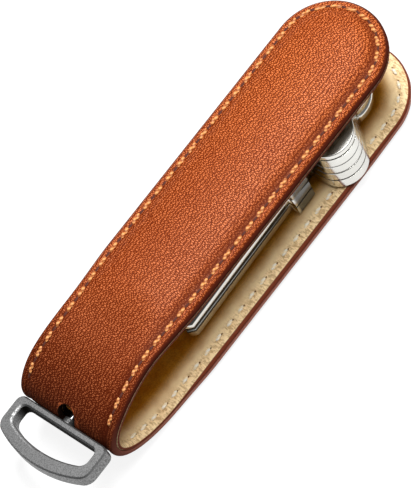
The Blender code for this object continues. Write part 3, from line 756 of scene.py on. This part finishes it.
def rounded_key(name, back_round):
    """The CAD key with its stamped edges rounded, its blade's back most of all, and grooves in the blade."""
    low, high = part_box(name)
    thickness = high[2] - low[2]
    bm = merged_copy(name)
    if name == SLOPED:
        bmesh.ops.bisect_plane(bm, geom=bm.verts[:] + bm.edges[:] + bm.faces[:],
                               plane_co=(0, 0, low[2] + SLOPE_FROM), plane_no=(0, 0, 1))
        top_back = [vert for vert in bm.verts if vert.co.z > high[2] - WELD and vert.co.y < BACK_Y
                    and vert.co.x < BLADE_FROM_X + 2 * MM]
        bmesh.ops.translate(bm, verts=top_back, vec=(0, SLOPE_IN, 0))
    sharp = [edge for edge in bm.edges if edge.calc_face_angle(0.0) > radians(50)
             and abs(edge.verts[0].co.z - edge.verts[1].co.z) < thickness / 4]
    backs = [edge for edge in sharp if all(vert.co.y < BACK_Y for vert in edge.verts)
             and sum(vert.co.x for vert in edge.verts) / 2 < BLADE_FROM_X]
    ends = [edge for edge in sharp
            if all(vert.co.x > BOW_END_X and vert.co.xy.length > BORE_REACH for vert in edge.verts)]
    others = [edge for edge in sharp if edge not in backs and edge not in ends]
    round_edges(bm, backs, min(back_round, thickness * 0.42), 5, False)
    round_edges(bm, ends, min(BOW_END_ROUND, thickness * 0.4), 4, True)
    round_edges(bm, others, min(EDGE_ROUND, thickness / 5), 3, True)
    made = piece(name + "_plated", bm, NICKEL)
    turn = Matrix.Rotation(radians(GROOVE_TURN_DEG), 4, "Z")
    for face, across in GROOVES:
        groove = bmesh.new()
        place = Matrix.Translation((GROOVE_X, across, (low[2], high[2])[face]))
        bmesh.ops.create_cube(groove, size=1.0, matrix=turn @ place @ Matrix.Diagonal(GROOVE_SIZE))
        cut_out(made, groove)
    shade(made, 40)
    keep_faces_flat(made)
    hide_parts(name)
    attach(made, name.replace("key_", "key_body_"))


def worn_ring():
    """The CAD ring with its inner edge rubbed round. Each vertex keeps its place in the ring's directions."""
    bm = merged_copy("d_ring")
    home = Matrix.Translation((RING_X, 0, MIDDLE_Z)) @ Matrix.Rotation(radians(RING_ROLL_DEG), 4, "X")
    back = home.inverted()
    rubbed = []
    for edge in bm.edges:
        a, b = (back @ vert.co for vert in edge.verts)
        x, y = (a.x + b.x) / 2, (a.y + b.y) / 2
        outline_x = RING_APEX_X + RING_RADIUS - (RING_RADIUS ** 2 - y * y) ** 0.5
        if (min(a.z, b.z) > RING_THICKNESS / 2 - 0.05 * MM and 0 < y < RING_INNER_HALF + 0.8 * MM
                and outline_x + RING_ARC_BAR / 2 < x < -RING_BAR - 0.2 * MM):
            rubbed.append(edge)
    round_edges(bm, rubbed, RING_RUB, 3, False)
    own = bm.verts.layers.float_vector.new("ring")
    for vert in bm.verts:
        vert[own] = back @ vert.co
    made = piece("ring_zinc", bm, ZINC)
    shade(made, 30)
    keep_faces_flat(made)
    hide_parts("d_ring")
    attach(made, "ring")


def dress_nodes():
    """Carried-over CAD nodes get their real finish."""
    finishes = {"key_post": STEEL, "post_screw": STEEL, "ring_anchor_bar": STEEL, "ring_swivel_pin": STEEL,
                "lower_washer": NYLON, "upper_washer": NYLON, "base_board": BOARD,
                "flap_board": BOARD, "closure_magnet": MAGNET_PLATE}
    for name, look in finishes.items():
        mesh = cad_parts[name].data
        mesh.materials.clear()
        mesh.materials.append(look)
    core = piece("foam_core", merged_copy("flap_foam_pad"), FOAM)
    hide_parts("flap_foam_pad")
    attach(core, "flap")


def studio():
    """A white floor, two soft lamps, and the camera where the photo was taken from."""
    bm = bmesh.new()
    bmesh.ops.create_grid(bm, x_segments=1, y_segments=1, size=1.5)
    floor = linked("floor", bm)
    floor.data.materials.append(backdrop_material("pale_floor", "#7c7c7c"))
    floor.location.z = -FLOOR_DROP
    world = bpy.data.worlds.new("studio")
    bpy.context.scene.world = world
    world.use_nodes = True
    fill(world.node_tree.nodes["Background"], {"Color": colour("#f4f5f6"), "Strength": WORLD_STRENGTH})
    for name, place, size, power in LAMPS:
        lamp = bpy.data.lights.new(name, "AREA")
        lamp.size = size
        lamp.energy = power
        made = bpy.data.objects.new(name, lamp)
        bpy.context.scene.collection.objects.link(made)
        made.location = place
        made.rotation_euler = (Vector(LAMP_AIM) - Vector(place)).to_track_quat("-Z", "Y").to_euler()
    camera = bpy.data.objects.new("camera", bpy.data.cameras.new("camera"))
    bpy.context.scene.collection.objects.link(camera)
    camera.location = CAMERA_PLACE
    camera.rotation_euler = [radians(angle) for angle in CAMERA_DEG]
    camera.data.lens = CAMERA_LENS
    camera.data.clip_start = CLIP_START
    bpy.context.scene.camera = camera
    bpy.context.scene.view_settings.view_transform = "Standard"


studio()
cover_pieces()
for number, back_round in enumerate(BACK_ROUND, 1):
    rounded_key("key_{}".format(number), back_round)
worn_ring()
dress_nodes()
